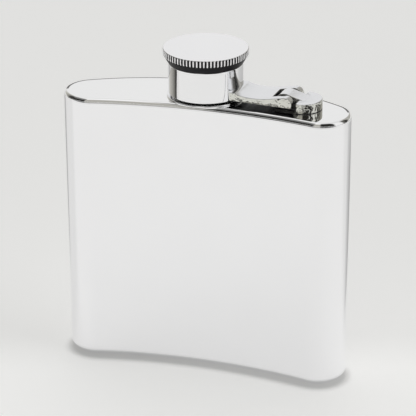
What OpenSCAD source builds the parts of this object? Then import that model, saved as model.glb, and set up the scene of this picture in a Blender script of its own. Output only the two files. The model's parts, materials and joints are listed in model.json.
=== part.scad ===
// Hip flask with a captive screw cap on a hinged arm.
// Z is up and the flask stands on its flat bottom. The front face looks toward -Y.
// The body has a kidney-shaped cross-section, so its hollow front lies against the hip.

/* [Body] */
// Overall width of the body
body_w = 95; // [85:1:105]
// Height from the bottom to the top plate's flat top
body_h = 92.9; // [80:0.1:110]
// Thickness of the body at its middle, from the front face to the back face
body_t = 24.8; // [23.5:0.1:28]
// Radius of the rounded left and right ends
end_r = 9.5; // [9:0.1:11]
// Radius of the hollow front face
front_r = 169; // [140:1:220]
// Thickness of the body's sheet metal
wall = 0.7; // [0.6:0.1:1]
// Radius of the rounded edge around the bottom
bottom_fillet = 4; // [2.5:0.1:5]
// Radius of the rounded edge around the top plate
rim_fillet = 1.1; // [0.8:0.1:1.5]

/* [Neck] */
// Sideways place of the neck's axis
neck_x = -1.6; // [-4:0.1:2]
// Radius of the pouring hole
mouth_r = 7; // [6:0.1:7.2]
// Wall thickness of the spout
spout_wall = 0.8; // [0.7:0.1:1]
// Height of the spout above the top plate
spout_h = 8.4; // [8:0.1:8.6]
// Height of the thread ridges on the spout
thread_depth = 0.55; // [0.4:0.05:0.6]
// Distance from one thread ridge to the next
thread_pitch = 2.5; // [2:0.1:2.5]

/* [Cap] */
// Outer radius of the collar that holds the cap
collar_r = 12.1; // [12:0.1:13]
// Height of the collar's lower edge above the top plate
collar_bottom = 1.1; // [1:0.1:1.4]
// Height of the collar
collar_h = 10.25; // [10:0.05:11]
// Outer radius of the cap's knurled rim
cap_r = 13.8; // [13.4:0.1:15]
// Height of the sloping underside of the cap
bevel_h = 2.3; // [1.8:0.1:2.6]
// Height of the knurled band
knurl_h = 2.35; // [2:0.05:3]
// Rise of the cap's domed top
dome_h = 0.3; // [0.1:0.1:0.6]
// Number of ridges around the knurled band
knurls = 76; // [48:1:80]
// How far the cap climbs in the collar as it unscrews
cap_rise = 5; // [3:0.1:5]

/* [Hinge] */
// Turn of the arm about the neck's axis, so that it follows the curved body
arm_turn = -4.5; // [-6:0.5:0]
// Distance from the neck's axis to the hinge pin
pin_x = 28.9; // [28.5:0.1:29.2]
// Height of the hinge pin above the top plate
pin_z = 2.5; // [2.4:0.05:2.7]
// Radius of the hinge pin
pin_r = 0.9; // [0.7:0.05:1.1]
// Outer radius of the knuckles
knuckle_r = 2.25; // [2:0.05:2.3]
// Full width of the arm
arm_w = 12.4; // [11:0.1:13]
// Width of the bracket's tongue
middle_w = 5.6; // [5:0.1:7]
// Height of the bracket's foot
foot_h = 3.3; // [2.5:0.1:3.6]
// Radius of the bracket's round foot
foot_r = 6.4; // [6:0.1:7]

/* [Hidden] */
$fn = 96;

fit_gap = 0.08;       // radial gap of a turned running fit
pin_gap = 0.05;       // radial gap around the hinge pin
side_gap = 0.8;       // gap between neighbouring knuckles
end_steps = 18;       // facets around each rounded end, an even number
long_steps = 22;      // facets along the back face, and along the hollow front face
fillet_steps = 6;     // facets across a rounded edge
rolled_steps = 2;     // facets across the small inner edge of the top plate

// The outline is four tangent arcs: two round ends, the back face and the hollow front face.
end_x = body_w/2 - end_r;
front_cy = -body_t/2 - front_r;
end_cy = front_cy + sqrt(pow(front_r + end_r, 2) - end_x*end_x);
back_y = body_t/2;
back_r = (end_x*end_x + pow(end_cy - back_y, 2) - end_r*end_r) / (2*(back_y - end_cy - end_r));
back_cy = back_y - back_r;
front_angle = atan2(end_cy - front_cy, end_x);   // from the front centre to an end centre
back_angle = atan2(end_cy - back_cy, end_x);     // from the back centre to an end centre

// The box of the whole body is centred on Y = 0.
shift_y = -(back_y + end_cy - end_r)/2;
neck_y = shift_y - 1.6;

seam_z = body_h - rim_fillet;
spout_r = mouth_r + spout_wall;
crest_r = spout_r + thread_depth;
flange_r = 12.6;
flange_h = 0.5;
spout_drop = 2.2;     // how far the spout reaches into the body

cup_bore_r = crest_r + 0.65;          // clears the spout's thread as the arm swings
cup_r = cup_bore_r + 1.2;
cup_bottom = 1.5;
cup_plug_h = 1.3;                     // how far the cup is pressed into the head
seal_t = 1.2;
seal_gap = 0.05;
seal_r = cup_bore_r - 0.05;
ceiling_z = spout_h + seal_gap + seal_t;
collar_top = collar_bottom + collar_h;
collar_bore_r = collar_r - 0.8;
ring_t = 0.7;
ring_z = 2.15;
ring_slack = 0.05;
groove_r = cup_bore_r + 0.55;
guide_z = ring_z + ring_t + cap_rise + ring_slack;
bevel_top = collar_top + bevel_h;
knurl_top = bevel_top + knurl_h;
knurl_depth = 0.38;
arm_bottom = 1.4;
arm_top = 3.2;
arm_root_top = 4.1;                   // thicker end, brazed to the collar
arm_root_len = 4.2;
slot_start = 24;
ramp_start = 21;      // where the arm starts to rise towards its knuckles
// The ramp is the tangent from its start to the knuckle's round.
ramp_dist = norm([pin_x - ramp_start, pin_z - arm_top]);
ramp_angle = atan2(pin_z - arm_top, pin_x - ramp_start) + asin(knuckle_r/ramp_dist);
tongue_start = 24.6;  // the bracket's tongue fills the slot and ends here
tongue_bottom = 0.4;
hump_x = 28;          // centre of the tongue's humped top
hump_z = 0.9;
hump_r = 4;
hump_tilt = 16;       // slope of the straight run from the hump down to the foot
hump_end = hump_x + hump_r*sin(hump_tilt);
hump_end_z = hump_z + hump_r*cos(hump_tilt);
slope_end = hump_end + (hump_end_z - foot_h)/tan(hump_tilt);
foot_bevel = 0.4;
foot_x = 32.7;
foot_left = 32.5;

// Angles of one arc, from a to b in n steps, without its last point
function sweep(a, b, n) = [for (i = [0 : n - 1]) a + (b - a)*i/n];

// Points of an arc about [cx, cy]
function arc(cx, cy, r, angles) = [for (a = angles) [cx + r*cos(a), cy + r*sin(a)]];

// The body's outline moved inward by d
function outline(d) = concat(
    arc(end_x, end_cy, end_r - d, sweep(front_angle - 180, back_angle, end_steps)),
    arc(0, back_cy, back_r - d, sweep(back_angle, 180 - back_angle, long_steps)),
    arc(-end_x, end_cy, end_r - d, sweep(180 - back_angle, 360 - front_angle, end_steps)),
    arc(0, front_cy, front_r + d, sweep(180 - front_angle, front_angle, long_steps)));

// Triangles that close the ring starting at point first, as a strip from the back to the front
function cap_faces(first, flip) = let(
    n = 2*(end_steps + long_steps),
    half = n/2,
    back = [for (k = [0 : half]) first + (end_steps/2 + k)%n],
    front = [for (k = [0 : half]) first + (end_steps/2 - k + n)%n],
    near = [for (k = [0 : half - 2]) [back[k], back[k + 1], front[k + 1]]],
    far = [for (k = [1 : half - 1]) [back[k], front[k + 1], front[k]]])
    [for (f = concat(near, far)) flip ? [f[2], f[1], f[0]] : f];

// A closed solid through a list of [inset, height] rings of the outline
module lofted(rings) {
    n = len(outline(0));
    points = [for (ring = rings) for (p = outline(ring[0])) [p[0], p[1], ring[1]]];
    last = (len(rings) - 1)*n;
    sides = [for (k = [0 : len(rings) - 2]) for (i = [0 : n - 1])
        [k*n + i, (k + 1)*n + i, (k + 1)*n + (i + 1)%n, k*n + (i + 1)%n]];
    faces = concat(sides, cap_faces(0, false), cap_faces(last, true));
    translate([0, shift_y, 0])
        polyhedron(points, faces, convexity = 6);
}

// Places a sub-part on the neck's axis, with Z = 0 on the top plate and X along the arm
module at_neck() {
    translate([neck_x, neck_y, body_h])
        rotate([0, 0, arm_turn])
            children();
}

// A straight bar of the side view (X, Z), as wide as w along Y
module side_bar(w) {
    rotate([90, 0, 0])
        translate([0, 0, -w/2])
            linear_extrude(w)
                children();
}

// A round bar along Y through the hinge pin's axis
module hinge_round(r, w) {
    translate([pin_x, 0, pin_z])
        rotate([90, 0, 0])
            translate([0, 0, -w/2])
                cylinder(r = r, h = w);
}

// Drawn cup with a rounded bottom edge, open at the top
module body_shell() {
    inner_fillet = bottom_fillet - wall;
    outer_rings = [for (i = [0 : fillet_steps])
        let (a = 90*i/fillet_steps)
        [bottom_fillet*(1 - sin(a)), bottom_fillet*(1 - cos(a))]];
    inner_rings = [for (i = [fillet_steps : -1 : 0])
        let (a = 90*i/fillet_steps)
        [wall + inner_fillet*(1 - sin(a)), wall + inner_fillet*(1 - cos(a))]];
    color("silver")
        lofted(concat(outer_rings, [[0, seam_z], [wall, seam_z]], inner_rings));
}

// Stamped lid of the body, with a rolled edge and the hole for the neck
module top_plate() {
    inner_fillet = rim_fillet - wall;
    inner_rings = [for (i = [rolled_steps : -1 : 0])
        let (a = 90*i/rolled_steps)
        [wall + inner_fillet*(1 - cos(a)), seam_z + inner_fillet*sin(a)]];
    outer_rings = [for (i = [0 : fillet_steps])
        let (a = 90*i/fillet_steps)
        [rim_fillet*(1 - cos(a)), seam_z + rim_fillet*sin(a)]];
    color("gainsboro")
        difference() {
            lofted(concat(inner_rings, outer_rings));
            at_neck()
                translate([0, 0, -2*rim_fillet])
                    cylinder(r = spout_r, h = 4*rim_fillet);
        }
}

// Turned spout with its base flange and the ridges of its thread
module neck() {
    color("lightgray")
        at_neck() {
            rotate_extrude()
                polygon([[mouth_r, -spout_drop], [spout_r, -spout_drop], [spout_r, 0],
                    [flange_r, 0], [flange_r, flange_h], [spout_r, flange_h],
                    [spout_r, spout_h], [mouth_r, spout_h]]);
            for (i = [0 : 1])
                translate([0, 0, spout_h - 2 - i*thread_pitch])
                    rotate_extrude()
                        polygon([[spout_r - 0.2, -0.9], [crest_r, -0.25],
                            [crest_r, 0.25], [spout_r - 0.2, 0.9]]);
        }
}

// Round foot brazed to the top plate, with a humped tongue that carries the pin
module hinge_bracket() {
    color("silver")
        at_neck()
            difference() {
                union() {
                    intersection() {
                        translate([foot_x, 0, 0])
                            rotate_extrude()
                                polygon([[0, 0], [foot_r, 0], [foot_r, foot_h - foot_bevel],
                                    [foot_r - foot_bevel, foot_h], [0, foot_h]]);
                        translate([foot_left, -foot_r, 0])
                            cube([2*foot_r, 2*foot_r, foot_h]);
                    }
                    intersection() {
                        translate([hump_x, 0, hump_z])
                            rotate([90, 0, 0])
                                translate([0, 0, -middle_w/2])
                                    cylinder(r = hump_r, h = middle_w);
                        translate([tongue_start, -middle_w/2, tongue_bottom])
                            cube([hump_end - tongue_start, middle_w, 2*hump_r]);
                    }
                    side_bar(middle_w)
                        polygon([[pin_x, 2*tongue_bottom], [slope_end, 2*tongue_bottom],
                            [slope_end, foot_h], [hump_end, hump_end_z], [pin_x, pin_z]]);
                }
                hinge_round(pin_r, 2*middle_w);
            }
}

// Plain steel pin, pressed in the bracket's tongue
module hinge_pin() {
    color("gray")
        at_neck()
            hinge_round(pin_r, arm_w);
}

// Arm with a knuckle on each side of the tongue, brazed to the collar
module hinge_arm() {
    ramp_len = sqrt(ramp_dist*ramp_dist - knuckle_r*knuckle_r);
    color("lightgray")
        at_neck()
            difference() {
                union() {
                    side_bar(arm_w)
                        polygon([[collar_r - 3, arm_bottom], [pin_x, arm_bottom], [pin_x, pin_z],
                            [ramp_start + ramp_len*cos(ramp_angle), arm_top + ramp_len*sin(ramp_angle)],
                            [ramp_start, arm_top], [collar_r + arm_root_len, arm_top],
                            [collar_r - 0.5, arm_root_top], [collar_r - 3, arm_root_top]]);
                    hinge_round(knuckle_r, arm_w);
                }
                cylinder(r = collar_r, h = collar_top);
                translate([slot_start, -middle_w/2 - side_gap, -1])
                    cube([2*(pin_x - slot_start), middle_w + 2*side_gap, 4*pin_z]);
                hinge_round(pin_r + pin_gap, 2*arm_w);
            }
}

// Ring on the arm's end, in which the cap turns and climbs
module captive_collar() {
    color("silver")
        at_neck()
            rotate_extrude()
                polygon([[collar_bore_r, collar_bottom], [collar_r, collar_bottom],
                    [collar_r, collar_top], [cup_r + fit_gap, collar_top],
                    [cup_r + fit_gap, guide_z], [collar_bore_r, guide_z]]);
}

// Snap ring in the cup's groove, which stops the cap from leaving the collar
module retaining_ring() {
    color("dimgray")
        at_neck()
            translate([0, 0, ring_z])
                difference() {
                    cylinder(r = collar_bore_r - fit_gap, h = ring_t);
                    translate([0, 0, -1])
                        cylinder(r = groove_r + fit_gap, h = ring_t + 2);
                }
}

// Threaded cup that screws on the spout and is pressed into the cap's head
module cap_cup() {
    color("lightgray")
        at_neck()
            difference() {
                translate([0, 0, cup_bottom])
                    cylinder(r = cup_r, h = collar_top + cup_plug_h - cup_bottom);
                translate([0, 0, cup_bottom - 1])
                    cylinder(r = cup_bore_r, h = ceiling_z - cup_bottom + 1);
                translate([0, 0, ring_z - ring_slack])
                    difference() {
                        cylinder(r = cup_r + 1, h = ring_t + 2*ring_slack);
                        translate([0, 0, -1])
                            cylinder(r = groove_r, h = ring_t + 2);
                    }
            }
}

// Soft disc in the cup that seals on the spout's rim
module cap_seal() {
    color("whitesmoke")
        at_neck()
            translate([0, 0, spout_h + seal_gap])
                cylinder(r = seal_r, h = seal_t);
}

// Turned head with a sloping underside, a straight-knurled band and a domed top
module cap_head() {
    dome_r = (pow(cap_r - knurl_depth, 2) + dome_h*dome_h) / (2*dome_h);
    knurl_w = PI*cap_r/knurls;
    band_r = cap_r - knurl_depth;
    color("silver")
        at_neck() {
            difference() {
                union() {
                    translate([0, 0, collar_top + fit_gap])
                        cylinder(r1 = collar_r, r2 = band_r, h = bevel_h - fit_gap);
                    translate([0, 0, bevel_top])
                        cylinder(r = band_r, h = knurl_h);
                    intersection() {
                        translate([0, 0, knurl_top + dome_h - dome_r])
                            sphere(r = dome_r, $fn = 400);
                        translate([0, 0, knurl_top])
                            cylinder(r = band_r, h = dome_h);
                    }
                    translate([0, 0, bevel_top])
                        linear_extrude(knurl_h)
                            for (i = [0 : knurls - 1])
                                rotate(360*i/knurls)
                                    translate([band_r - 0.2, -knurl_w/2])
                                        square([knurl_depth + 0.2, knurl_w]);
                }
                cylinder(r = cup_r, h = collar_top + cup_plug_h);
            }
        }
}

body_shell();
top_plate();
neck();
hinge_bracket();
hinge_pin();
hinge_arm();
captive_collar();
retaining_ring();
cap_cup();
cap_seal();
cap_head();
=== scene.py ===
# Looks of the hip flask: finished meshes, materials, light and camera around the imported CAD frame.
import json
import math

import bmesh
import bpy
import numpy as np
from mathutils import Matrix, Vector


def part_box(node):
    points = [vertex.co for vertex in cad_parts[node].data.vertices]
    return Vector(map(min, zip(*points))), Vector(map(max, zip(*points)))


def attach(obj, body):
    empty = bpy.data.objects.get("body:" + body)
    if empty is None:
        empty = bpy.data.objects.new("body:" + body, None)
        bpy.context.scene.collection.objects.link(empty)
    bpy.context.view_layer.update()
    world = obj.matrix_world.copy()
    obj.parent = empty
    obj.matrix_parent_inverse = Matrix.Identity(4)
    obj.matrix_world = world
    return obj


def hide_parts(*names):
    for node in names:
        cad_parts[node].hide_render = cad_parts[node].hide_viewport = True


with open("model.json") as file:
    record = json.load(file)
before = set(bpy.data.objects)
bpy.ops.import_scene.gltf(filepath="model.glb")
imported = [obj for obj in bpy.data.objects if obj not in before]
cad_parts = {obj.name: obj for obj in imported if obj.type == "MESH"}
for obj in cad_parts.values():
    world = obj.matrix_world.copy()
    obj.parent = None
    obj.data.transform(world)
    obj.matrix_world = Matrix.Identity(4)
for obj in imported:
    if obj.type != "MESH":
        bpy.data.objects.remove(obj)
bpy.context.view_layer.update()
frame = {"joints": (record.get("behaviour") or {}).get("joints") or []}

MM = 0.001
APART = 0.02*MM            # between faces that would otherwise lie in one plane

# ---------------------------------------------------------------- places taken from the frame

collar_low, collar_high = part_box("captive_collar")
head_low, head_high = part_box("cap_head")
ring_low, ring_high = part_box("retaining_ring")
seal_low, seal_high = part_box("cap_seal")
cup_low, cup_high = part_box("cap_cup")

swing = next(j for j in frame["joints"] if j["name"] == "arm_swing")
top_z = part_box("top_plate")[1].z
seam_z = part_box("body_shell")[1].z
axis_point = Vector(((collar_low.x + collar_high.x)/2, (collar_low.y + collar_high.y)/2, top_z))
hinge_dir = Vector(swing["axis"]).normalized()
arm_dir = hinge_dir.cross(Vector((0, 0, 1))).normalized()
pin_point = Vector(swing["pos_m"])
pin_x = (pin_point - axis_point).dot(arm_dir)
pin_z = pin_point.z - top_z

# The neck's own frame: X along the arm, Y along the hinge pin, Z up from the top plate
AT_NECK = Matrix((
    (arm_dir.x, hinge_dir.x, 0, axis_point.x),
    (arm_dir.y, hinge_dir.y, 0, axis_point.y),
    (arm_dir.z, hinge_dir.z, 1, axis_point.z),
    (0, 0, 0, 1)))

# The pin's frame: Z along the pin
AT_PIN = AT_NECK @ Matrix.Translation((pin_x, 0, pin_z)) @ Matrix.Rotation(math.pi/2, 4, "X")

# ---------------------------------------------------------------- dimensions

BODY_W = 95*MM
BODY_T = 24.8*MM
END_R = 9.5*MM
FRONT_R = 169*MM
WALL = 0.7*MM
BOTTOM_FILLET = 4*MM
BOTTOM_INSET = BOTTOM_FILLET + 0.1*MM      # from the outline to the bottom's flat middle
RIM_FILLET = 1.1*MM
RIM_DROP = 2*MM            # the rim's curve is taller than it is wide
SEAM_LIP = 0.06*MM
SEAM_EDGE = 1.5*SEAM_LIP   # height from the seam to the end of each lip
SHEET_BEND = 0.3*MM
LINE_W = 0.22*MM           # of the painted shadow line on the lid's flat
LINE_SIDE = Vector((-0.3, 0.95)).normalized()
LINE_ROUND = (-0.09, 0.3)  # start and width of the line's fade, over the normal's part along LINE_SIDE
LINE_UP = (0.7, 0.2)       # and over the normal's upward part

MOUTH_R = 7*MM
SPOUT_R = 7.8*MM
SPOUT_H = 8.4*MM
SPOUT_DROP = 2.2*MM
THREAD_PITCH = 2.5*MM
THREAD_DEPTH = 0.55*MM
THREAD_FADE = 0.8*MM       # length over which the ridge rises at each end
THREAD_BLUNT = 0.8         # exponent of the ridge's section; less is blunter
THREAD_START = 1.6*MM
THREAD_END = SPOUT_H - 0.4*MM
ON_WALL = 0.05*MM          # a point this near a wall's radius belongs to the wall
FLANGE_R = 12.6*MM
FLANGE_H = 0.5*MM

collar_r = (collar_high.x - collar_low.x)/2
collar_bottom = collar_low.z - top_z
collar_top = collar_high.z - top_z
COLLAR_BORE_R = 11.3*MM
GUIDE_R = 10.35*MM
GUIDE_Z = 7.9*MM

cup_r = (cup_high.x - cup_low.x)/2
cup_bottom = cup_low.z - top_z
CUP_BORE_R = 9.0*MM
GROOVE_R = 9.55*MM
GROOVE_FIT = 0.05*MM
CUP_THREAD_DEPTH = 0.22*MM
CUP_THREAD_START = cup_bottom + 0.6*MM
CUP_THREAD_STOP = 1.6*MM   # below the seal's upper face
RING_FIT = 0.08*MM
RING_GAP = 16              # degrees left open in the snap ring

cap_r = (head_high.x - head_low.x)/2
cap_top = head_high.z - top_z
BEVEL_H = 2.3*MM
BEVEL_IN = 0.38*MM         # the bevel ends this far inside the knurled band
LOWER_EDGE_H = 0.25*MM
PAINTED_DARK_H = 0.12*MM          # painted dark reflection on the underside, up to this height over the bevel
KNURL_H = 2.35*MM
KNURL_OVER = 0.1*MM        # from the knurls to the domed top
KNURLS = 76
KNURL_DEPTH = 0.36*MM
KNURL_FADE = 0.3*MM        # height over which the knurls run out
KNURL_BAND = 0.6*MM        # the knurls lie within this distance of the cap's edge
HEAD_EDGE = 0.35*MM        # radius between the knurled band and the domed top
HEAD_GAP = 0.08*MM         # between the head and the collar
DOME_STEPS = 24

ARM_W = 12.4*MM
ARM_BOTTOM = 1.4*MM
ARM_TOP = 3.2*MM
ARM_ROOT_TOP = 4.1*MM      # where the arm meets the collar
ARM_ROOT_LEN = 5*MM
RAMP_START = 21*MM
RAMP_EASE = 3*MM           # the ramp eases in over this length on each side of its start
SLOT_X = 24*MM
SLOT_W = 7.2*MM
KNUCKLE_R = 2.25*MM
PIN_R = 0.9*MM
PIN_FIT = 0.05*MM
PIN_SKIN = 0.2*MM          # metal left over each closed end of the pin's bore
PIN_REACH = ARM_W/2 - PIN_SKIN
CAST_EDGE = 0.25*MM
CAST_EDGE_STEPS = 4
CAST_EDGE_ANGLE = 28       # degrees; softer edges than this stay as they are
MIDDLE_W = 5.6*MM
TONGUE_START = 24.6*MM
TONGUE_BOTTOM = 0.4*MM
HUMP_X = 28*MM
HUMP_Z = 0.9*MM
HUMP_R = 4*MM
HUMP_TILT = 16             # degrees; slope of the straight run down to the foot
HUMP_END = 141             # degrees; where the hump meets the tongue's blunt end
BLUNT_IN = 0.1*MM          # the blunt end's upper corner: how far in, and how far below the foot's top
BLUNT_HIGH = 0.25*MM
BLUNT_LOW = 0.9*MM
OVERLAP = 0.6*MM           # of the tongue's slope and the foot's top
OVERLAP_RISE = 0.2*MM
FOOT_X = 32.7*MM
FOOT_LEFT = 32.5*MM
FOOT_R = 6.4*MM
FOOT_H = 3.3*MM
FOOT_EDGE = 0.45*MM
FOOT_CORNER_X = 0.35*MM    # the two corners at the foot's straight side
FOOT_CORNER_Y = 0.4*MM
FOOT_CORNER_TURN = 11      # degrees of the round side that each corner takes

# ---------------------------------------------------------------- profiles with exact normals


def rounded_profile(corners, closed, steps=5):
    """Samples (a, z, normal_a, normal_z) along straight lines with a fillet at each corner.

    corners holds (a, z, fillet radius). The material lies to the left of the direction of travel,
    so each normal points to the right. An open profile keeps its two end points.
    """
    samples = []
    n = len(corners)
    for i, (a, z, r) in enumerate(corners):
        here = np.array((a, z))
        before = np.array(corners[(i - 1) % n][:2]) if closed or i > 0 else None
        after = np.array(corners[(i + 1) % n][:2]) if closed or i < n - 1 else None
        if before is None or after is None:
            run = after - here if before is None else here - before
            run = run/np.linalg.norm(run)
            samples.append((a, z, run[1], -run[0]))
            continue
        u = (here - before)/np.linalg.norm(here - before)
        v = (after - here)/np.linalg.norm(after - here)
        turn = math.atan2(u[0]*v[1] - u[1]*v[0], u @ v)
        start = here - u*r*math.tan(abs(turn)/2)
        side = math.copysign(1, turn)
        centre = start + side*r*np.array((-u[1], u[0]))
        for k in range(steps + 1):
            t = turn*k/steps
            d = np.array((u[0]*math.cos(t) - u[1]*math.sin(t), u[0]*math.sin(t) + u[1]*math.cos(t)))
            normal = np.array((d[1], -d[0]))
            p = centre + side*r*normal
            samples.append((p[0], p[1], normal[0], normal[1]))
    return samples


def refine(samples, low, high, step, closed):
    """Adds samples every step along the straight stretches between heights low and high."""
    out = []
    n = len(samples)
    for i, s in enumerate(samples):
        out.append(s)
        if not closed and i == n - 1:
            break
        t = samples[(i + 1) % n]
        length = math.hypot(t[0] - s[0], t[1] - s[1])
        middle = (s[1] + t[1])/2
        if length > 1.5*step and low < middle < high:
            count = int(length/step)
            for k in range(1, count):
                f = k/count
                out.append(tuple(s[j] + (t[j] - s[j])*f for j in range(4)))
    return out


def put(name, data):
    """A new object in the scene."""
    obj = bpy.data.objects.new(name, data)
    bpy.context.scene.collection.objects.link(obj)
    return obj


def make_object(name, verts, faces, normals, matrix=Matrix.Identity(4)):
    """A smooth mesh object. The normals are those of the true surface at each vertex."""
    rot = np.array(matrix.to_3x3())
    verts = np.asarray(verts, float) @ rot.T + np.array(matrix.translation)
    normals = np.asarray(normals, float) @ rot.T
    mesh = bpy.data.meshes.new(name)
    mesh.from_pydata(verts.tolist(), [], faces)
    mesh.update()
    mesh.shade_smooth()
    mesh.normals_split_custom_set_from_vertices(normals.tolist())
    return put(name, mesh)


def lathe(name, samples, segments, closed, matrix=AT_NECK, bump=None, sweep=2*math.pi):
    """Turns a profile about Z. bump(theta, a, z) moves the surface along its normal."""
    full = sweep == 2*math.pi
    count = segments if full else segments + 1
    thetas = [sweep*i/segments for i in range(count)]
    eps, eps_theta = 1e-6, 1e-4     # metres and radians, for the bump's slopes
    verts, normals, rings = [], [], []
    for a, z, na, nz in samples:
        if a < eps:
            rings.append([len(verts)])
            verts.append((0, 0, z))
            normals.append((0, 0, nz))
            continue
        ring = []
        ta, tz = -nz, na
        for theta in thetas:
            c, s = math.cos(theta), math.sin(theta)
            d = ds = dt = 0.0
            if bump:
                d = bump(theta, a, z)
                ds = bump(theta, a + eps*ta, z + eps*tz) - bump(theta, a - eps*ta, z - eps*tz)
                ds /= 2*eps
                dt = bump(theta + eps_theta, a, z) - bump(theta - eps_theta, a, z)
                dt /= 2*eps_theta*a
            r = a + d*na
            ring.append(len(verts))
            verts.append((r*c, r*s, z + d*nz))
            n = np.array((na*c, na*s, nz)) - ds*np.array((ta*c, ta*s, tz)) - dt*np.array((-s, c, 0))
            normals.append(n/np.linalg.norm(n))
        rings.append(ring)
    faces = []
    following = rings[1:] + rings[:1] if closed else rings[1:]
    for low, high in zip(rings, following):
        for i in range(segments):
            j = (i + 1) % count
            if len(low) == 1:
                faces.append((low[0], high[j], high[i]))
            elif len(high) == 1:
                faces.append((low[i], low[j], high[0]))
            else:
                faces.append((low[i], low[j], high[j], high[i]))
    if not full and closed:
        faces.append([ring[0] for ring in rings])
        faces.append([ring[-1] for ring in reversed(rings)])
    return make_object(name, verts, faces, normals, matrix)


def solid_round(name, radius, low, high, matrix):
    """A plain cylinder about Z, used as a cutter."""
    samples = [(0, low, 0, -1), (radius, low, 0, -1), (radius, high, 0, 1), (0, high, 0, 1)]
    return lathe(name, samples, 96, closed=False, matrix=matrix)


def fade(value, start, width):
    """Rises from 0 at start to 1 at start + width."""
    return min(1.0, max(0.0, (value - start)/width))


def paint(obj, name, values):
    """Stores one number per vertex for the material to read."""
    shade = obj.data.attributes.new(name, "FLOAT", "POINT")
    shade.data.foreach_set("value", values)


# ---------------------------------------------------------------- the kidney outline

end_x = BODY_W/2 - END_R
front_cy = -BODY_T/2 - FRONT_R
end_cy = front_cy + math.sqrt((FRONT_R + END_R)**2 - end_x**2)
back_y = BODY_T/2
back_r = (end_x**2 + (end_cy - back_y)**2 - END_R**2)/(2*(back_y - end_cy - END_R))
back_cy = back_y - back_r
front_angle = math.atan2(end_cy - front_cy, end_x)
back_angle = math.atan2(end_cy - back_cy, end_x)
shift_y = -(back_y + end_cy - END_R)/2

END_STEPS = 56
LONG_STEPS = 72


def outline_arcs():
    """(centre x, centre y, radius, side, first angle, last angle, steps) of the four tangent arcs."""
    pi = math.pi
    return [
        (end_x, end_cy, END_R, 1, front_angle - pi, back_angle, END_STEPS),
        (0, back_cy, back_r, 1, back_angle, pi - back_angle, LONG_STEPS),
        (-end_x, end_cy, END_R, 1, pi - back_angle, 2*pi - front_angle, END_STEPS),
        (0, front_cy, FRONT_R, -1, pi - front_angle, front_angle, LONG_STEPS)]


def outline(offset):
    """Points and outward normals of the outline moved outward by offset."""
    points = []
    for cx, cy, r, side, a, b, n in outline_arcs():
        for i in range(n):
            t = a + (b - a)*i/n
            c, s = math.cos(t), math.sin(t)
            away = r + side*offset
            points.append((cx + away*c, cy + away*s + shift_y, side*c, side*s))
    return points


def loft(samples):
    """Vertices, normals, side faces and points per ring of a profile swept round the outline."""
    verts, normals, faces = [], [], []
    count = len(outline(0))
    for offset, z, no, nz in samples:
        for x, y, nx, ny in outline(offset):
            verts.append((x, y, z))
            normals.append((no*nx, no*ny, nz))
    for k in range(len(samples) - 1):
        low, high = k*count, (k + 1)*count
        for i in range(count):
            j = (i + 1) % count
            faces.append((low + i, low + j, high + j, high + i))
    return verts, normals, faces, count


def cap_strip(first, count, flip):
    """Faces that close one ring of a loft, in strips from the back arc across to the front arc."""
    middle = END_STEPS//2
    half = count//2
    back = [first + (middle + k) % count for k in range(half + 1)]
    front = [first + (middle - k) % count for k in range(half + 1)]
    faces = []
    for k in range(half):
        face = list(dict.fromkeys([back[k], back[k + 1], front[k + 1], front[k]]))
        faces.append(face if flip else face[::-1])
    return faces


# ---------------------------------------------------------------- materials


def new_material(name):
    """A material with one Principled shader, its nodes, and its object coordinates and normal."""
    mat = bpy.data.materials.new(name)
    mat.use_nodes = True
    nodes, links = mat.node_tree.nodes, mat.node_tree.links
    nodes.clear()
    out = nodes.new("ShaderNodeOutputMaterial")
    shader = nodes.new("ShaderNodeBsdfPrincipled")
    links.new(shader.outputs[0], out.inputs[0])
    coords = nodes.new("ShaderNodeTexCoord")
    return mat, nodes, links, shader, coords.outputs["Object"], coords.outputs["Normal"]


def feed(links, socket, value):
    """Links a socket to another node's output, or sets it to a plain value."""
    if isinstance(value, bpy.types.NodeSocket):
        links.new(value, socket)
    else:
        socket.default_value = value


def maths(nodes, links, operation, *values):
    """The result of a Math node."""
    node = nodes.new("ShaderNodeMath")
    node.operation = operation
    for socket, value in zip(node.inputs, values):
        feed(links, socket, value)
    return node.outputs[0]


def along(nodes, links, place, axis):
    """How far a place or a direction reaches along an axis."""
    dot = nodes.new("ShaderNodeVectorMath")
    dot.operation = "DOT_PRODUCT"
    links.new(place, dot.inputs[0])
    dot.inputs[1].default_value = axis
    return dot.outputs["Value"]


def noise(nodes, links, coords, scale, detail, stretch=(1, 1, 1)):
    """A noise texture over object coordinates, stretched along an axis where asked."""
    mapping = nodes.new("ShaderNodeMapping")
    mapping.inputs["Scale"].default_value = stretch
    tex = nodes.new("ShaderNodeTexNoise")
    tex.inputs["Scale"].default_value = scale
    tex.inputs["Detail"].default_value = detail
    links.new(coords, mapping.inputs[0])
    links.new(mapping.outputs[0], tex.inputs["Vector"])
    return tex.outputs["Fac"]


def span(nodes, links, value, low, high, to_low, to_high):
    """Maps value from low..high to to_low..to_high, clamped."""
    node = nodes.new("ShaderNodeMapRange")
    node.inputs["From Min"].default_value = low
    node.inputs["From Max"].default_value = high
    node.inputs["To Min"].default_value = to_low
    node.inputs["To Max"].default_value = to_high
    links.new(value, node.inputs["Value"])
    return node.outputs[0]


def two_tone(nodes, links, factor, first, second):
    """A colour that goes from first to second as the factor rises. Each is RGB or a node's output."""
    mix = nodes.new("ShaderNodeMix")
    mix.data_type = "RGBA"
    links.new(factor, mix.inputs[0])
    for socket, tone in ((mix.inputs[6], first), (mix.inputs[7], second)):
        feed(links, socket, (*tone, 1) if isinstance(tone, tuple) else tone)
    return mix.outputs[2]


def openness(nodes, reach):
    """Near 1 on open surfaces, and less where other surfaces within reach hem them in."""
    hemmed = nodes.new("ShaderNodeAmbientOcclusion")
    hemmed.inputs["Distance"].default_value = reach
    return hemmed.outputs["AO"]


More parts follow.
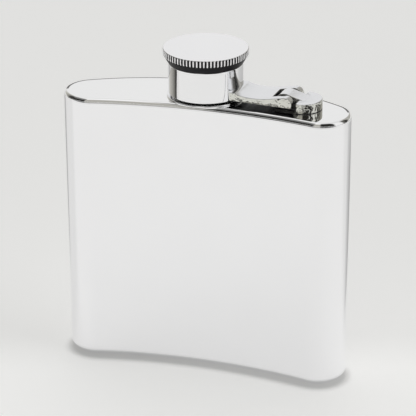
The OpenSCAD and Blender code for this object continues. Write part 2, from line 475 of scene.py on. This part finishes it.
def relief(nodes, links, height, strength, depth):
    """A normal tilted by a height."""
    bump = nodes.new("ShaderNodeBump")
    bump.inputs["Distance"].default_value = depth
    feed(links, bump.inputs["Strength"], strength)
    links.new(height, bump.inputs["Height"])
    return bump.outputs[0]


# Relief of drawn and of turned steel: noise scale, detail and stretch, and depth
SOFT_WAVES = (34, 1, (1, 1, 1), 0.2*MM)
LATHE_LINES = (900, 2, (0.002, 0.002, 1.0), 0.02*MM)


def steel(name, tone, rough, surface, strength):
    """Polished steel: soft tone changes, fine wipe marks, and a faint relief."""
    mat, nodes, links, shader, coords, _ = new_material(name)
    cloud = noise(nodes, links, coords, scale=60, detail=3)
    dark = tuple(c*0.97 for c in tone)
    links.new(two_tone(nodes, links, cloud, dark, tone), shader.inputs["Base Color"])
    shader.inputs["Metallic"].default_value = 1.0
    marks = noise(nodes, links, coords, scale=260, detail=6, stretch=(1.0, 1.0, 0.12))
    links.new(span(nodes, links, marks, 0.42, 0.7, rough*0.8, rough*1.9), shader.inputs["Roughness"])
    scale, detail, stretch, depth = surface
    height = noise(nodes, links, coords, scale, detail, stretch)
    links.new(relief(nodes, links, height, strength, depth), shader.inputs["Normal"])
    return mat


def painted_dark_steel(name, tone, dark, rough, painted_dark_level):
    """Steel with painted shade and painted dark reflection: a darker, duller tone where its vertex
    attribute is high.
    """
    mat, nodes, links, shader, coords, _ = new_material(name)
    attribute = nodes.new("ShaderNodeAttribute")
    attribute.attribute_name = "painted_dark"
    grain = noise(nodes, links, coords, scale=700, detail=4)
    spots = span(nodes, links, grain, 0.3, 0.7, -painted_dark_level, painted_dark_level)
    depth = maths(nodes, links, "ADD", attribute.outputs["Fac"], spots)
    factor = span(nodes, links, depth, 0.15, 0.6, 0, 1)
    links.new(two_tone(nodes, links, factor, tone, dark), shader.inputs["Base Color"])
    links.new(span(nodes, links, factor, 0, 1, 1, 0), shader.inputs["Metallic"])
    links.new(span(nodes, links, factor, 0, 1, rough, 0.4), shader.inputs["Roughness"])
    shader.inputs["Specular IOR Level"].default_value = 0.12
    return mat


def cast(name, tone, side_reflection_tint, dark, rough, wave, reach):
    """Bright cast steel: flowing bumps on its sides, a painted warm reflection on its upright sides, and
    painted black shade where it is closely hemmed in.
    """
    mat, nodes, links, shader, coords, normal = new_material(name)
    painted_dark_level = span(nodes, links, openness(nodes, reach), 0.3, 0.5, 1, 0)
    upward = maths(nodes, links, "ABSOLUTE", along(nodes, links, normal, (0, 0, 1)))
    side = span(nodes, links, upward, 0.3, 0.9, 1, 0)
    warm = tuple(c*f for c, f in zip(tone, side_reflection_tint))
    unshaded = two_tone(nodes, links, side, tone, warm)
    links.new(two_tone(nodes, links, painted_dark_level, unshaded, dark), shader.inputs["Base Color"])
    links.new(span(nodes, links, painted_dark_level, 0, 1, 1, 0), shader.inputs["Metallic"])
    links.new(span(nodes, links, painted_dark_level, 0, 1, rough, 0.5), shader.inputs["Roughness"])
    shader.inputs["Specular IOR Level"].default_value = 0.1
    swell = noise(nodes, links, coords, scale=420, detail=3)
    strength = span(nodes, links, side, 0, 1, 0.12*wave, wave)
    links.new(relief(nodes, links, swell, strength, 0.25*MM), shader.inputs["Normal"])
    return mat


def silicone(name, tone):
    """Soft translucent rubber with a fine grain."""
    mat, nodes, links, shader, coords, _ = new_material(name)
    grain = noise(nodes, links, coords, scale=900, detail=4)
    dark = tuple(c*0.9 for c in tone)
    links.new(two_tone(nodes, links, grain, dark, tone), shader.inputs["Base Color"])
    links.new(span(nodes, links, grain, 0.3, 0.7, 0.42, 0.58), shader.inputs["Roughness"])
    shader.inputs["Subsurface Weight"].default_value = 0.15
    shader.inputs["Subsurface Scale"].default_value = 1*MM
    return mat


SHELL_STEEL = steel("polished_shell", (0.98, 0.98, 0.995), 0.045, SOFT_WAVES, 0.04)
TURNED_STEEL = steel("turned_steel", (0.945, 0.946, 0.957), 0.05, LATHE_LINES, 0.25)
PLAIN_STEEL = steel("plain_steel", (0.62, 0.62, 0.61), 0.22, LATHE_LINES, 0.3)
# lid: a painted shadow line along the back and the left end of the edge
LID_STEEL = painted_dark_steel("polished_lid", (0.97, 0.97, 0.968), (0.16, 0.155, 0.15), 0.045, 0.03)
# cap's head: painted dark reflection on the underside, painted shade in the knurl grooves
KNURL_STEEL = painted_dark_steel("knurl_steel", (0.955, 0.952, 0.96), (0.012, 0.012, 0.014), 0.06, 0.12)
# arm and hinge foot: painted warm reflection on upright sides, painted black shade in gaps and under the
# arm
CAST_STEEL = cast("cast_steel", (0.845, 0.85, 0.865), side_reflection_tint=(0.86, 0.855, 0.785),
    dark=(0.018, 0.018, 0.024), rough=0.09, wave=2.2, reach=2.6*MM)
SILICONE = silicone("silicone", (0.86, 0.85, 0.8))


def dress(obj, material, slot, body, *nodes):
    """Gives a piece its material and its body, and hides the CAD nodes it stands for. slot is not used.
    """
    obj.data.materials.append(material)
    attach(obj, body)
    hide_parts(*nodes)
    return obj


# ---------------------------------------------------------------- body


def rim_curve(low, high, steps):
    """Samples of the rim's elliptical edge between two heights, upwards."""
    start = math.asin((low - top_z + RIM_DROP)/RIM_DROP)
    end = math.asin((high - top_z + RIM_DROP)/RIM_DROP)
    samples = []
    for i in range(steps + 1):
        t = start + (end - start)*i/steps
        normal = np.array((math.cos(t)/RIM_FILLET, math.sin(t)/RIM_DROP))
        normal = normal/np.linalg.norm(normal)
        samples.append((RIM_FILLET*(math.cos(t) - 1), top_z + RIM_DROP*(math.sin(t) - 1), *normal))
    return samples


def build_body():
    """Drawn shell with an inner and an outer wall, and a soft lip where the top plate is welded on."""
    rim_low = top_z - RIM_DROP
    lip_low = seam_z - SEAM_EDGE
    outside = rounded_profile([
        (-BOTTOM_INSET, 0, 0),
        (0, 0, BOTTOM_FILLET),
        (0, rim_low, 0)], closed=False, steps=12)
    edge = rim_curve(rim_low, lip_low, steps=6)
    seam_offset = edge[-1][0]
    inside = rounded_profile([
        (seam_offset, lip_low, 0),
        (seam_offset, seam_z, SEAM_LIP),
        (-WALL, seam_z, SEAM_LIP),
        (-WALL, WALL, BOTTOM_FILLET - WALL),
        (-BOTTOM_INSET, WALL, 0)], closed=False, steps=8)
    samples = outside + edge[1:] + inside[1:]
    verts, normals, faces, count = loft(samples)
    faces += cap_strip(0, count, flip=False)
    faces += cap_strip((len(samples) - 1)*count, count, flip=True)
    return dress(make_object("flask_shell", verts, faces, normals), SHELL_STEEL, "polished_shell",
        "flask", "body_shell")


def build_plate():
    """Stamped lid: rolled edge outside, sheet thickness below, and the hole that holds the neck.

    A dull line of painted shadow runs along the back and the left end of the edge.
    """
    lip_high = seam_z + SEAM_EDGE
    edge = rim_curve(lip_high, top_z, steps=20)
    under_edge = rounded_profile([
        (-RIM_FILLET - SHEET_BEND, top_z - WALL, 0),
        (-WALL, top_z - WALL, SHEET_BEND),
        (-WALL, seam_z, SEAM_LIP),
        (edge[0][0], seam_z, SEAM_LIP),
        (edge[0][0], lip_high, 0)], closed=False, steps=8)
    flat = [(-RIM_FILLET - LINE_W, top_z, 0, 1), (-RIM_FILLET - 2*LINE_W, top_z, 0, 1)]
    samples = under_edge[:-1] + edge + flat
    verts, normals, faces, count = loft(samples)
    centre = np.array((axis_point.x, axis_point.y))

    def hole_ring(ring, z, nz):
        first = len(verts)
        for i in range(count):
            p = np.array(verts[ring*count + i][:2]) - centre
            p = p/np.linalg.norm(p)*SPOUT_R + centre
            verts.append((p[0], p[1], z))
            normals.append((0, 0, nz))
        return first

    under = hole_ring(0, top_z - WALL, -1)
    over = hole_ring(len(samples) - 1, top_z, 1)
    last = (len(samples) - 1)*count
    for i in range(count):
        j = (i + 1) % count
        faces.append((under + i, under + j, j, i))
        faces.append((last + i, last + j, over + j, over + i))
    lid = make_object("flask_top", verts, faces, normals)
    line = [0.0]*len(lid.data.vertices)
    for ring, (_, z, _, nz) in enumerate(samples[:-1]):
        if z > seam_z:
            for i, (_, _, nx, ny) in enumerate(outline(0)):
                side = Vector((nx, ny)).dot(LINE_SIDE)
                line[ring*count + i] = fade(nz, *LINE_UP)*fade(side, *LINE_ROUND)
    paint(lid, "painted_dark", line)
    return dress(lid, LID_STEEL, "polished_shell", "flask", "top_plate")


# ---------------------------------------------------------------- neck


def thread(radius, first, last, depth):
    """A bump for lathe: a right-hand helical ridge on the wall of that radius, from first to last."""

    def bump(theta, a, z):
        if abs(a - radius) > ON_WALL:
            return 0.0
        phase = (z/THREAD_PITCH - theta/(2*math.pi)) % 1.0
        ridge = max(0.0, math.cos(2*math.pi*(phase - 0.5)))**THREAD_BLUNT
        return depth*ridge*fade(z, first, THREAD_FADE)*fade(last - z, 0, THREAD_FADE)

    return bump


def build_neck():
    """Turned spout: base flange with a rounded edge, helical thread and a rounded pouring rim."""
    corners = [
        (MOUTH_R, -SPOUT_DROP, 0.15*MM),
        (SPOUT_R, -SPOUT_DROP, 0.15*MM),
        (SPOUT_R, APART, APART/2),
        (FLANGE_R, APART, 0.2*MM),
        (FLANGE_R, FLANGE_H, 0.26*MM),
        (SPOUT_R, FLANGE_H, 0.3*MM),
        (SPOUT_R, SPOUT_H, 0.3*MM),
        (MOUTH_R, SPOUT_H, 0.3*MM)]
    samples = rounded_profile(corners, closed=True)
    samples = refine(samples, FLANGE_H*2, SPOUT_H, step=0.12*MM, closed=True)
    ridge = thread(SPOUT_R, THREAD_START, THREAD_END, THREAD_DEPTH)
    neck = lathe("threaded_neck", samples, 144, closed=True, bump=ridge)
    return dress(neck, TURNED_STEEL, "turned_steel", "flask", "neck")


# ---------------------------------------------------------------- hinge


def neck_mesh(name, mesh):
    """An object of a bmesh that is drawn in the neck's frame."""
    bmesh.ops.recalc_face_normals(mesh, faces=mesh.faces)
    data = bpy.data.meshes.new(name)
    mesh.to_mesh(data)
    mesh.free()
    data.transform(AT_NECK)
    return put(name, data)


def slotted_prism(name, wide, narrow):
    """A bar along the arm, as wide as the arm, with a slot in its outer part.

    wide and narrow are the (x, z) outlines of the whole and of the slotted part. They share two
    points, where the slot begins.
    """
    half, slot_half = ARM_W/2, SLOT_W/2
    columns = [-half, -slot_half, slot_half, half]
    mesh = bmesh.new()
    made = {}

    def vert(p, col):
        if (p, col) not in made:
            made[p, col] = mesh.verts.new((p[0], columns[col], p[1]))
        return made[p, col]

    def sides(path, gaps):
        for p, q in zip(path, path[1:]):
            for col in gaps:
                mesh.faces.new((vert(p, col), vert(q, col), vert(q, col + 1), vert(p, col + 1)))

    sides(wide, (0, 1, 2))
    sides(narrow, (0, 2))
    whole = wide + narrow[1:-1]
    for col in (0, 3):
        mesh.faces.new([vert(p, col) for p in whole])
    for col in (1, 2):
        mesh.faces.new([vert(p, col) for p in narrow])
    bottom, top = narrow[0], narrow[-1]
    mesh.faces.new((vert(bottom, 1), vert(top, 1), vert(top, 2), vert(bottom, 2)))
    return neck_mesh(name, mesh)


def arc_points(cx, cz, r, first, last, steps):
    """Points of an arc, from angle first to last in degrees."""
    out = []
    for i in range(steps + 1):
        t = math.radians(first + (last - first)*i/steps)
        out.append((cx + r*math.cos(t), cz + r*math.sin(t)))
    return out


def prism(name, points, low, high, along_y):
    """A straight prism of an outline: along Y for a side view, or along Z for a plan."""
    mesh = bmesh.new()
    ends = []
    for level in (low, high):
        if along_y:
            ends.append([mesh.verts.new((x, level, z)) for x, z in points])
        else:
            ends.append([mesh.verts.new((x, y, level)) for x, y in points])
    for end in ends:
        mesh.faces.new(end)
    n = len(points)
    for i in range(n):
        j = (i + 1) % n
        mesh.faces.new((ends[0][i], ends[0][j], ends[1][j], ends[1][i]))
    return neck_mesh(name, mesh)


def applied(obj):
    """Replaces the object's mesh by the one its modifiers make."""
    depsgraph = bpy.context.evaluated_depsgraph_get()
    data = bpy.data.meshes.new_from_object(obj.evaluated_get(depsgraph))
    obj.modifiers.clear()
    obj.data = data
    return obj


def soften(obj, width):
    """Rounds the edges and keeps the flats flat."""
    obj.data.shade_smooth()
    bevel = obj.modifiers.new("round_edges", "BEVEL")
    bevel.width = width
    bevel.segments = CAST_EDGE_STEPS
    bevel.limit_method = "ANGLE"
    bevel.angle_limit = math.radians(CAST_EDGE_ANGLE)
    bevel.use_clamp_overlap = True
    bevel.harden_normals = True
    return applied(obj)


def join(obj, tool, operation):
    """Applies a boolean with another solid, the tool, and removes the tool."""
    step = obj.modifiers.new("join", "BOOLEAN")
    step.operation = operation
    step.solver = "EXACT"
    step.object = tool
    applied(obj)
    bpy.data.objects.remove(tool)
    return obj


def build_arm():
    """Flat bar, thicker where it is brazed to the collar, with a knuckle on each side of a slot."""
    inside = COLLAR_BORE_R - 2*MM      # the core cut trims this end inside the collar's wall
    wall_middle = (COLLAR_BORE_R + collar_r)/2
    rise = math.hypot(pin_x - RAMP_START, pin_z - ARM_TOP)
    slope = math.atan2(pin_z - ARM_TOP, pin_x - RAMP_START) + math.asin(KNUCKLE_R/rise)

    def ramp_z(x):
        """Height of the arm's top where it eases from flat into a straight ramp up to the knuckles."""
        t = (x - RAMP_START)/RAMP_EASE
        return ARM_TOP + math.tan(slope)*RAMP_EASE*(t + 1)**2/4

    root_h = ARM_ROOT_TOP - ARM_TOP
    root = [(collar_r + ARM_ROOT_LEN*k/8, ARM_TOP + root_h*(1 - k/8)**2) for k in range(9)]
    ease = [(x, ramp_z(x)) for x in (RAMP_START + RAMP_EASE*k/6 for k in range(-6, 6))]
    slot_top = (SLOT_X, ramp_z(SLOT_X))
    wide = [slot_top] + ease[::-1] + root[::-1]
    wide += [(inside, ARM_ROOT_TOP), (inside, ARM_BOTTOM), (SLOT_X, ARM_BOTTOM)]
    under = -90 + math.degrees(math.acos((pin_z - ARM_BOTTOM)/KNUCKLE_R))
    knuckle = arc_points(pin_x, pin_z, KNUCKLE_R, under, 90 + math.degrees(slope), steps=36)
    narrow = [(SLOT_X, ARM_BOTTOM)] + knuckle + [slot_top]
    arm = slotted_prism("swing_arm", wide, narrow)
    join(arm, solid_round("core", wall_middle, 0, 2*collar_top, AT_NECK), "DIFFERENCE")
    soften(arm, CAST_EDGE)
    join(arm, solid_round("bore", PIN_R + PIN_FIT, -PIN_REACH, PIN_REACH, AT_PIN), "DIFFERENCE")
    return dress(arm, CAST_STEEL, "cast_steel", "arm", "hinge_arm")


def build_bracket():
    """Half-round foot on the top plate, and a humped tongue that holds the pin."""
    bend = math.degrees(math.acos((FOOT_LEFT - FOOT_X)/FOOT_R)) - FOOT_CORNER_TURN
    foot_plan = arc_points(FOOT_X, 0, FOOT_R, -bend, bend, steps=48)
    bend_y = FOOT_R*math.sin(math.radians(bend))
    corner = [(FOOT_LEFT + FOOT_CORNER_X, bend_y + APART), (FOOT_LEFT, bend_y - FOOT_CORNER_Y)]
    foot_plan += corner + [(x, -y) for x, y in reversed(corner)]
    foot = soften(prism("foot", foot_plan, 0, FOOT_H, along_y=False), FOOT_EDGE)
    hump = arc_points(HUMP_X, HUMP_Z, HUMP_R, 90 - HUMP_TILT, HUMP_END, steps=40)
    slope_end = hump[0][0] + (hump[0][1] - FOOT_H)/math.tan(math.radians(HUMP_TILT))
    foot_top = FOOT_H - APART
    tongue_side = hump + [
        (TONGUE_START + BLUNT_IN, foot_top - BLUNT_HIGH),
        (TONGUE_START, foot_top - BLUNT_LOW),
        (TONGUE_START, TONGUE_BOTTOM),
        (slope_end + OVERLAP, TONGUE_BOTTOM),
        (slope_end + OVERLAP, foot_top),
        (slope_end - OVERLAP, foot_top + OVERLAP_RISE)]
    tongue = prism("tongue", tongue_side, -MIDDLE_W/2, MIDDLE_W/2, along_y=True)
    bracket = join(foot, soften(tongue, CAST_EDGE), "UNION")
    bracket.name = "hinge_foot"
    return dress(bracket, CAST_STEEL, "cast_steel", "flask", "hinge_bracket")


def build_pin():
    """Plain pin inside the closed knuckles."""
    edge = 0.12*MM
    corners = [(0, -PIN_REACH, 0), (PIN_R, -PIN_REACH, edge), (PIN_R, PIN_REACH, edge), (0, PIN_REACH, 0)]
    samples = rounded_profile(corners, closed=False)
    pin = lathe("pivot_pin", samples, 48, closed=False, matrix=AT_PIN)
    return dress(pin, PLAIN_STEEL, "plain_steel", "flask", "hinge_pin")


# ---------------------------------------------------------------- collar and cap


def build_collar():
    """Turned ring with an inner guide, under which the cap's snap ring is caught."""
    corners = [
        (COLLAR_BORE_R, collar_bottom, 0.2*MM),
        (collar_r, collar_bottom, 0.35*MM),
        (collar_r, collar_top, 0.15*MM),
        (GUIDE_R, collar_top, 0.15*MM),
        (GUIDE_R, GUIDE_Z, 0.2*MM),
        (COLLAR_BORE_R, GUIDE_Z, 0.2*MM)]
    samples = rounded_profile(corners, closed=True)
    collar = lathe("cap_collar", samples, 192, closed=True)
    return dress(collar, TURNED_STEEL, "turned_steel", "arm", "captive_collar")


def build_ring():
    """Snap ring with its gap."""
    outer = (ring_high.x - ring_low.x)/2
    low, high = ring_low.z - top_z, ring_high.z - top_z
    inner = GROOVE_R + RING_FIT
    edge = 0.12*MM
    corners = [(inner, low, edge), (outer, low, edge), (outer, high, edge), (inner, high, edge)]
    samples = rounded_profile(corners, closed=True)
    ring = lathe("snap_ring", samples, 120, closed=True, sweep=math.radians(360 - RING_GAP))
    return dress(ring, PLAIN_STEEL, "plain_steel", "snap_ring", "retaining_ring")


def build_cup():
    """Threaded cup with the snap ring's groove."""
    ceiling = seal_high.z - top_z
    plug_top = cup_high.z - top_z
    low, high = ring_low.z - top_z - GROOVE_FIT, ring_high.z - top_z + GROOVE_FIT
    corners = [
        (0, ceiling, 0),
        (CUP_BORE_R, ceiling, 0.2*MM),
        (CUP_BORE_R, cup_bottom, 0.2*MM),
        (cup_r, cup_bottom, 0.2*MM),
        (cup_r, low, 0.08*MM),
        (GROOVE_R, low, 0.08*MM),
        (GROOVE_R, high, 0.08*MM),
        (cup_r, high, 0.08*MM),
        (cup_r, plug_top, 0.2*MM),
        (0, plug_top, 0)]
    samples = rounded_profile(corners, closed=False)
    samples = refine(samples, cup_bottom, ceiling, step=0.15*MM, closed=False)
    ridge = thread(CUP_BORE_R, CUP_THREAD_START, ceiling - CUP_THREAD_STOP, CUP_THREAD_DEPTH)
    cup = lathe("screw_cup", samples, 144, closed=False, bump=ridge)
    return dress(cup, PLAIN_STEEL, "plain_steel", "cap", "cap_cup")


def build_seal():
    """Soft disc with rounded edges."""
    r = (seal_high.x - seal_low.x)/2
    low, high = seal_low.z - top_z, seal_high.z - top_z
    corners = [(0, low, 0), (r, low, 0.25*MM), (r, high, 0.15*MM), (0, high, 0)]
    samples = rounded_profile(corners, closed=False)
    seal = lathe("soft_seal", samples, 96, closed=False)
    return dress(seal, SILICONE, "seal", "cap", "cap_seal")


def build_head():
    """Cap's head: sloping underside, straight knurls that run out at both edges, and a domed top."""
    bevel_top = collar_top + BEVEL_H
    knurl_top = bevel_top + KNURL_H
    dome_start = knurl_top + KNURL_OVER
    plug_top = cup_high.z - top_z + APART
    plug_r = cup_r + APART
    head_bottom = collar_top + HEAD_GAP
    below = rounded_profile([
        (0, plug_top, 0),
        (plug_r, plug_top, 0.1*MM),
        (plug_r, head_bottom, 0.05*MM),
        (collar_r, head_bottom, 0.1*MM),
        (cap_r - BEVEL_IN, bevel_top, 0.12*MM),
        (cap_r, bevel_top + LOWER_EDGE_H, 0)], closed=False)
    rim = rounded_profile([
        (cap_r, bevel_top + 2*LOWER_EDGE_H, 0),
        (cap_r, dome_start, HEAD_EDGE),
        (0, dome_start, 0)], closed=False, steps=8)
    # The rim's rounded edge runs into the dome, a shallow spherical cap.
    dome_edge = cap_r - HEAD_EDGE
    rise = cap_top - dome_start
    dome_r = (dome_edge**2 + rise**2)/(2*rise)
    dome = []
    for i in range(1, DOME_STEPS + 1):
        a = dome_edge*(1 - i/DOME_STEPS)
        slope = math.asin(a/dome_r)
        dome.append((a, cap_top - dome_r*(1 - math.cos(slope)), math.sin(slope), math.cos(slope)))
    samples = below[:-1] + rim[:-1] + dome
    samples = refine(samples, bevel_top, knurl_top, step=0.25*MM, closed=False)

    def depth(theta, z):
        """Depth of a knurl's groove, from 0 to 1."""
        groove = 0.5 - 0.5*math.cos(KNURLS*theta)
        return groove*fade(z, bevel_top, KNURL_FADE)*fade(dome_start - z, 0, KNURL_FADE)

    def knurl(theta, a, z):
        return 0.0 if a < cap_r - KNURL_BAND else -KNURL_DEPTH*depth(theta, z)

    head = lathe("cap_top", samples, KNURLS*12, closed=False, bump=knurl)
    # Painted dark reflection on the underside and the bevel, and painted shade in the knurl grooves by
    # their depth
    inverse = AT_NECK.inverted()
    values = []
    for v in head.data.vertices:
        p = inverse @ v.co
        if p.z < bevel_top + PAINTED_DARK_H:
            values.append(1.0)
        elif math.hypot(p.x, p.y) > cap_r - KNURL_BAND:
            values.append(depth(math.atan2(p.y, p.x), p.z))
        else:
            values.append(0.0)
    paint(head, "painted_dark", values)
    return dress(head, KNURL_STEEL, "turned_steel", "cap", "cap_head")


build_body()
build_plate()
build_neck()
build_arm()
build_bracket()
build_pin()
build_collar()
build_ring()
build_cup()
build_seal()
build_head()

# ---------------------------------------------------------------- floor, light and camera

CAMERA_AZIMUTH = math.radians(17.13)
CAMERA_ELEVATION = math.radians(23.72)
CAMERA_ROLL = math.radians(-0.21)
CAMERA_DISTANCE = 720.8*MM
CAMERA_AIM = Vector((-2.8*MM, 6.05*MM, 50.5*MM))
CAMERA_LENS = 188.35
BACK = Vector((math.sin(CAMERA_AZIMUTH)*math.cos(CAMERA_ELEVATION),
    -math.cos(CAMERA_AZIMUTH)*math.cos(CAMERA_ELEVATION), math.sin(CAMERA_ELEVATION)))
# Two directions over the floor that set out the studio: to the photographer's side, and to the right
FRONT = Vector((BACK.x, BACK.y, 0)).normalized()
RIGHT = Vector((0, 0, 1)).cross(FRONT)

FLOOR_HALF = 4.0
FLOOR_GLOW = 0.386         # light that comes up through the translucent table
NEAR_GLOW = 1.2            # times FLOOR_GLOW in front of the flask, a painted pool of light
NEAR_EDGE = 12*MM          # half the width of the soft edge between the two
FAR_GLOW = 0.2             # part of the glow that is left far in front, from FAR_END on
FAR_START = 350*MM
FAR_END = 1200*MM
# painted contact shadow on the floor, from how open the floor is
CONTACT_REACH = 4*MM
CONTACT_TONE = 0.6
CONTACT_SPAN = (0.5, 0.95) # openness of the floor, from CONTACT_TONE to no shade

SIDE_TONE = 0.45           # of the painted shadow in a soft patch on the floor behind each end of the flask
SIDE_START = 46*MM         # the patches fan out from here, left and right
SIDE_SKEW = 0.24           # the left patch starts further back than the right one
SIDE_FAN = (0.4, 1.5)      # sideways over back: the slopes of a patch's dark and light edges
SIDE_IN = (71*MM, 88*MM)   # soft edges of a patch: towards the flask,
SIDE_NEAR = (0, 15*MM)     # in front,
SIDE_FAR = (160*MM, 400*MM)    # and behind
PICTURE_SLANT = 0.12       # the patches' inner edges keep outside the picture


def side_shade(nodes, links, toward, across):
    """The floor's painted shadow: a soft darker patch behind each end of the flask, outside the picture.

    The body's rounded ends mirror the patches as a thin dark edge.
    """
    wide = maths(nodes, links, "ABSOLUTE", across)
    skewed = maths(nodes, links, "MULTIPLY", across, SIDE_SKEW)
    behind = maths(nodes, links, "SUBTRACT", skewed, toward)
    outside = maths(nodes, links, "SUBTRACT", wide, SIDE_START)
    ratio = maths(nodes, links, "DIVIDE", outside, maths(nodes, links, "MAXIMUM", behind, 1*MM))
    beyond = maths(nodes, links, "MULTIPLY_ADD", toward, PICTURE_SLANT, wide)
    patch = span(nodes, links, ratio, *SIDE_FAN, 1 - SIDE_TONE, 0)
    for edge in (
            span(nodes, links, beyond, *SIDE_IN, 0, 1),
            span(nodes, links, behind, *SIDE_NEAR, 0, 1),
            span(nodes, links, behind, *SIDE_FAR, 1, 0)):
        patch = maths(nodes, links, "MULTIPLY", patch, edge)
    return maths(nodes, links, "SUBTRACT", 1.0, patch)


def build_floor():
    """Pale light table with a soft painted contact shadow, a painted pool of light in front, and dimmer
    far in front.
    """
    mesh = bpy.data.meshes.new("floor")
    corners = [(-1, -1), (1, -1), (1, 1), (-1, 1)]
    mesh.from_pydata([(x*FLOOR_HALF, y*FLOOR_HALF, 0) for x, y in corners], [], [(0, 1, 2, 3)])
    floor = put("floor", mesh)
    mat, nodes, links, shader, coords, _ = new_material("pale_floor")
    grain = noise(nodes, links, coords, scale=90, detail=3)
    tone = two_tone(nodes, links, grain, (0.735, 0.735, 0.728), (0.745, 0.745, 0.738))
    toward = along(nodes, links, coords, FRONT)
    across = along(nodes, links, coords, RIGHT)
    near = span(nodes, links, toward, -NEAR_EDGE, NEAR_EDGE, FLOOR_GLOW, FLOOR_GLOW*NEAR_GLOW)
    far = span(nodes, links, toward, FAR_START, FAR_END, 1, FAR_GLOW)
    contact = span(nodes, links, openness(nodes, CONTACT_REACH), *CONTACT_SPAN, CONTACT_TONE, 1)
    shade = maths(nodes, links, "MULTIPLY", side_shade(nodes, links, toward, across), contact)
    glow = maths(nodes, links, "MULTIPLY", maths(nodes, links, "MULTIPLY", near, far), shade)
    shaded = nodes.new("ShaderNodeVectorMath")
    shaded.operation = "SCALE"
    links.new(tone, shaded.inputs[0])
    links.new(shade, shaded.inputs["Scale"])
    links.new(shaded.outputs[0], shader.inputs["Base Color"])
    links.new(glow, shader.inputs["Emission Strength"])
    shader.inputs["Emission Color"].default_value = (1.0, 1.0, 0.985, 1)
    shader.inputs["Roughness"].default_value = 0.9
    shader.inputs["Specular IOR Level"].default_value = 0.1
    mesh.materials.append(mat)


# Tone of the room's walls by bearing in degrees. 0 is straight behind the flask, minus is to the
# left of it, and 180 is on the photographer's side.
ROOM_TONES = [
    (-180, 0.02), (-176, 0.03), (-170, 0.42), (-150, 0.42), (-143, 0.02), (-74, 0.05), (-71, 0.12),
    (-66, 0.22), (-53, 0.38), (-37, 0.52), (-18, 0.78), (0, 0.83), (14, 0.79), (22, 0.42), (50, 0.38),
    (57, 0.5), (67, 0.08), (76, 0.02), (83, 0.12), (89, 0.17), (97, 0.85), (126, 0.85), (134, 0.03),
    (180, 0.02)]
# Sine of the height angle at which the walls give way to the ceiling, by bearing
WALL_TOPS = [
    (-180, 0.84), (-176, 0.84), (-170, 0.66), (-150, 0.66), (-143, 0.82), (-74, 0.82), (-66, 0.66),
    (126, 0.66), (134, 0.84), (180, 0.84)]
WALL_TINT = (1.0, 0.975, 0.9)      # of the greyer walls
WHITE_ABOVE = 0.6                  # walls lighter than this are neutral
CEILING_TONE = (0.74, 0.74, 0.74)
CEILING_EDGE = 0.12                # the ceiling fades in over this much of the sine


def wall_colour(tone):
    """Grey, with WALL_TINT on the greyer walls."""
    return tuple(tone*c for c in WALL_TINT) if tone < WHITE_ABOVE else (tone, tone, tone)


def round_room(nodes, links, turn, values):
    """A colour that changes with the bearing. values holds (bearing in degrees, colour)."""
    ramp = nodes.new("ShaderNodeValToRGB")
    links.new(turn, ramp.inputs[0])
    stops = ramp.color_ramp.elements
    for i, (bearing, colour) in enumerate(values):
        place = bearing/360 + 0.5
        if i == 0:
            stop = stops[0]
        elif i == len(values) - 1:
            stop = stops[len(stops) - 1]
        else:
            stop = stops.new(place)
        stop.position = place
        stop.color = (*colour, 1)
    return ramp.outputs["Color"]


def build_world():
    """A white ceiling, a white backdrop behind the flask, and a darker room round the other sides."""
    world = bpy.data.worlds.new("studio")
    bpy.context.scene.world = world
    world.use_nodes = True
    nodes, links = world.node_tree.nodes, world.node_tree.links
    nodes.clear()
    out = nodes.new("ShaderNodeOutputWorld")
    background = nodes.new("ShaderNodeBackground")
    links.new(background.outputs[0], out.inputs[0])
    direction = nodes.new("ShaderNodeTexCoord").outputs["Generated"]
    sideways = along(nodes, links, direction, RIGHT)
    bearing = maths(nodes, links, "ARCTAN2", sideways, along(nodes, links, direction, -FRONT))
    turn = span(nodes, links, bearing, -math.pi, math.pi, 0, 1)
    walls = round_room(nodes, links, turn, [(angle, wall_colour(tone)) for angle, tone in ROOM_TONES])
    wall_top = round_room(nodes, links, turn, [(angle, (sine,)*3) for angle, sine in WALL_TOPS])
    height = along(nodes, links, direction, (0, 0, 1))
    over_wall = maths(nodes, links, "SUBTRACT", height, wall_top)
    ceiling = span(nodes, links, over_wall, 0, CEILING_EDGE, 0, 1)
    colour = two_tone(nodes, links, ceiling, walls, CEILING_TONE)
    links.new(colour, background.inputs["Color"])
    background.inputs["Strength"].default_value = 1.0


SOFTBOX_PLACE = Vector((-0.9, -0.9, 2.2))
SOFTBOX_AIM = Vector((0, 0, 0.05))
SOFTBOX_SIDE = 2.4
SOFTBOX_POWER = 3.0


def build_softbox():
    data = bpy.data.lights.new("softbox", "AREA")
    data.shape = "RECTANGLE"
    data.size = SOFTBOX_SIDE
    data.size_y = SOFTBOX_SIDE
    data.energy = SOFTBOX_POWER
    light = put("softbox", data)
    light.location = SOFTBOX_PLACE
    light.rotation_mode = "QUATERNION"
    light.rotation_quaternion = (SOFTBOX_PLACE - SOFTBOX_AIM).to_track_quat("Z", "Y")


def build_camera():
    data = bpy.data.cameras.new("camera")
    data.lens = CAMERA_LENS
    data.sensor_width = 36
    data.clip_start = 10*MM
    data.clip_end = 50
    camera = put("camera", data)
    camera.location = CAMERA_AIM + BACK*CAMERA_DISTANCE
    camera.rotation_mode = "QUATERNION"
    turn = Matrix.Rotation(CAMERA_ROLL, 4, "Z").to_quaternion()
    camera.rotation_quaternion = (-BACK).to_track_quat("-Z", "Y") @ turn
    bpy.context.scene.camera = camera


build_floor()
build_world()
build_softbox()
build_camera()
bpy.context.scene.view_settings.view_transform = "Standard"
